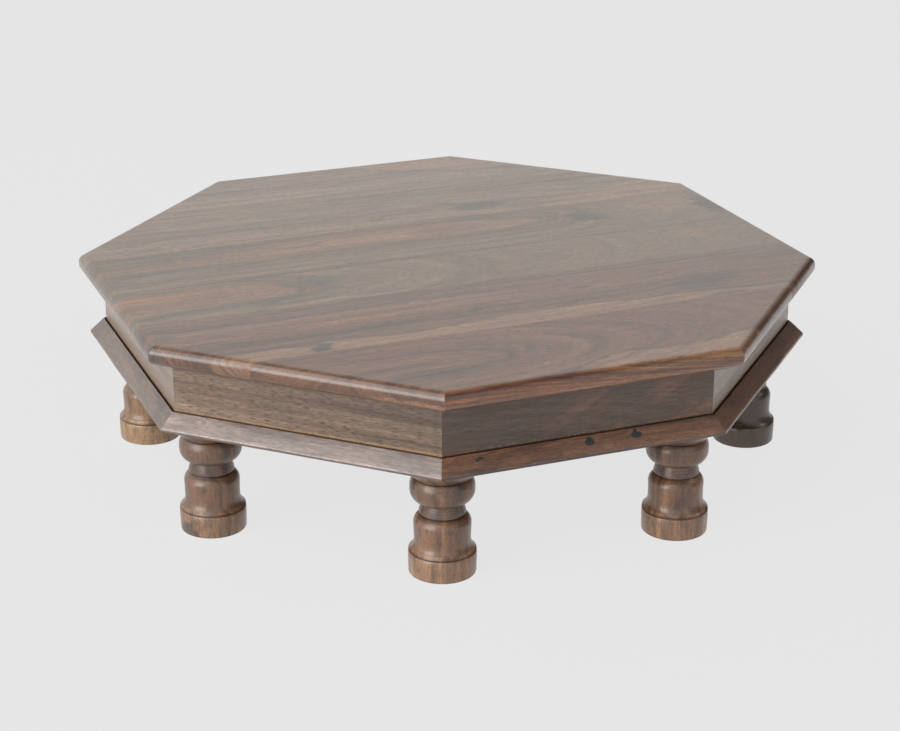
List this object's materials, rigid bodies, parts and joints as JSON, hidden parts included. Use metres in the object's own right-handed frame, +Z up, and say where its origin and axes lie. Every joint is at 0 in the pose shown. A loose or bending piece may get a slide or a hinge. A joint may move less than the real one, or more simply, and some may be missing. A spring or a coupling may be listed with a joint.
{
  "type": "bajot low table",
  "caption": "Low octagonal table of solid rosewood: planked top, mitred apron with a bevelled skirt strip, and a short turned leg at each corner.",
  "frame": {"origin": "on the floor, under the middle of the top", "axes": "+Z up; the planks of the top run along X; side 1 faces -Y and the sides count up anticlockwise seen from above"},
  "size_m": [0.6111, 0.61, 0.175],
  "materials": {
    "top_planks": "satin wax polish",
    "apron_boards": "satin wax polish",
    "skirt_strips": "satin wax polish",
    "turned_legs": "gloss polish",
    "inner_blocks": "bare sawn wood",
    "wooden_pins": "bare wood",
    "steel_screws": "zinc plated",
    "steel_nails": "bright drawn",
    "wood_filler": "dry filler"
  },
  "bodies": {
    "root": {"top_plank_1": "top_planks", "top_plank_2": "top_planks", "top_plank_3": "top_planks", "top_plank_4": "top_planks", "top_plank_5": "top_planks", "top_plank_6": "top_planks", "apron_board_1": "apron_boards", "apron_board_2": "apron_boards", "apron_board_3": "apron_boards", "apron_board_4": "apron_boards", "apron_board_5": "apron_boards", "apron_board_6": "apron_boards", "apron_board_7": "apron_boards", "apron_board_8": "apron_boards", "skirt_strip_1": "skirt_strips", "skirt_strip_2": "skirt_strips", "skirt_strip_3": "skirt_strips", "skirt_strip_4": "skirt_strips", "skirt_strip_5": "skirt_strips", "skirt_strip_6": "skirt_strips", "skirt_strip_7": "skirt_strips", "skirt_strip_8": "skirt_strips", "leg_1": "turned_legs", "leg_2": "turned_legs", "leg_3": "turned_legs", "leg_4": "turned_legs", "leg_5": "turned_legs", "leg_6": "turned_legs", "leg_7": "turned_legs", "leg_8": "turned_legs", "corner_block_1": "inner_blocks", "corner_block_2": "inner_blocks", "corner_block_3": "inner_blocks", "corner_block_4": "inner_blocks", "corner_block_5": "inner_blocks", "corner_block_6": "inner_blocks", "corner_block_7": "inner_blocks", "corner_block_8": "inner_blocks", "glue_block_1": "inner_blocks", "glue_block_2": "inner_blocks", "glue_block_3": "inner_blocks", "glue_block_4": "inner_blocks", "glue_block_5": "inner_blocks", "glue_block_6": "inner_blocks", "glue_block_7": "inner_blocks", "glue_block_8": "inner_blocks", "batten_1": "inner_blocks", "batten_2": "inner_blocks", "batten_3": "inner_blocks", "corner_screws": "steel_screws", "batten_screws": "steel_screws", "top_screws": "steel_screws", "leg_pins": "wooden_pins", "skirt_nails": "steel_nails", "nail_fillers": "wood_filler"}
  },
  "joints": []
}
